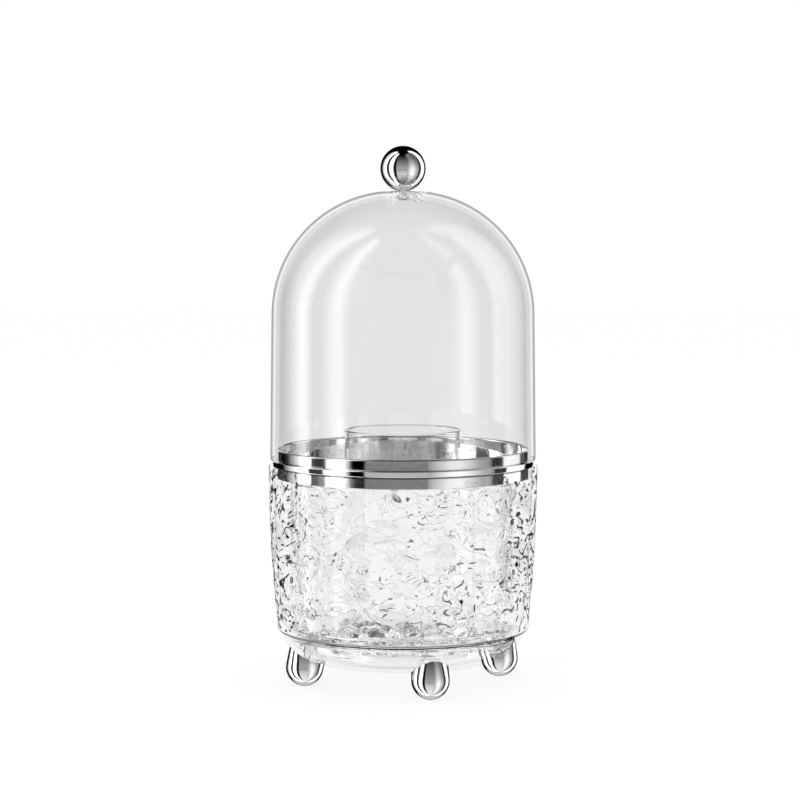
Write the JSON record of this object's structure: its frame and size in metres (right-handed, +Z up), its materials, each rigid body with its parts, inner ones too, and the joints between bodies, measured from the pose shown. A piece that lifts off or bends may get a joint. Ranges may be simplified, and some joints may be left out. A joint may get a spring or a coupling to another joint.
{
  "type": "covered cosmetic organizer",
  "caption": "Round cosmetic organizer: clear domed lid with a ball knob, textured clear cup with radial compartments, and a turntable base on plated feet.",
  "frame": {"origin": "on the ground under the centre of the object, on the axis that the cup turns about", "axes": "+Z up along the turning axis, -Y towards the front foot, +X towards one divider fin"},
  "size_m": [0.1234, 0.1234, 0.246],
  "materials": {
    "clear_plastic": "gloss",
    "textured_clear_plastic": "gloss",
    "plated_chrome": "polished",
    "clear_fixing": "gloss",
    "ball_glass": "polished",
    "cage_plastic": "satin"
  },
  "bodies": {
    "base": {"base_dish": "clear_plastic", "foot_right": "plated_chrome", "foot_back": "plated_chrome", "foot_left": "plated_chrome", "foot_front": "plated_chrome", "foot_screws": "clear_fixing"},
    "cage": {"ball_cage": "cage_plastic", "bearing_balls": "ball_glass"},
    "cup": {"cup": "textured_clear_plastic", "pivot_screw": "clear_fixing", "pivot_washer": "clear_fixing", "rim_ring": "plated_chrome"},
    "divider": {"divider_insert": "clear_plastic"},
    "lid": {"lid_dome": "clear_plastic", "lid_knob": "plated_chrome", "knob_screw": "clear_fixing", "knob_washer": "clear_fixing"}
  },
  "joints": [
    {"name": "cup_spin", "type": "hinge", "parent": "base", "child": "cup", "pos_m": [0, 0, 0.0189], "axis": [0, 0, 1], "continuous": true},
    {"name": "cage_spin", "type": "hinge", "parent": "base", "child": "cage", "pos_m": [0, 0, 0.0189], "axis": [0, 0, 1], "continuous": true},
    {"name": "divider_lift", "type": "slide", "parent": "cup", "child": "divider", "axis": [0, 0, 1], "range_m": [0, 0.082]},
    {"name": "lid_lift", "type": "slide", "parent": "cup", "child": "lid", "axis": [0, 0, 1], "range_m": [0, 0.13]}
  ],
  "couplings": [
    {"joint": "cage_spin", "follows": "cup_spin", "ratio": 0.5}
  ]
}
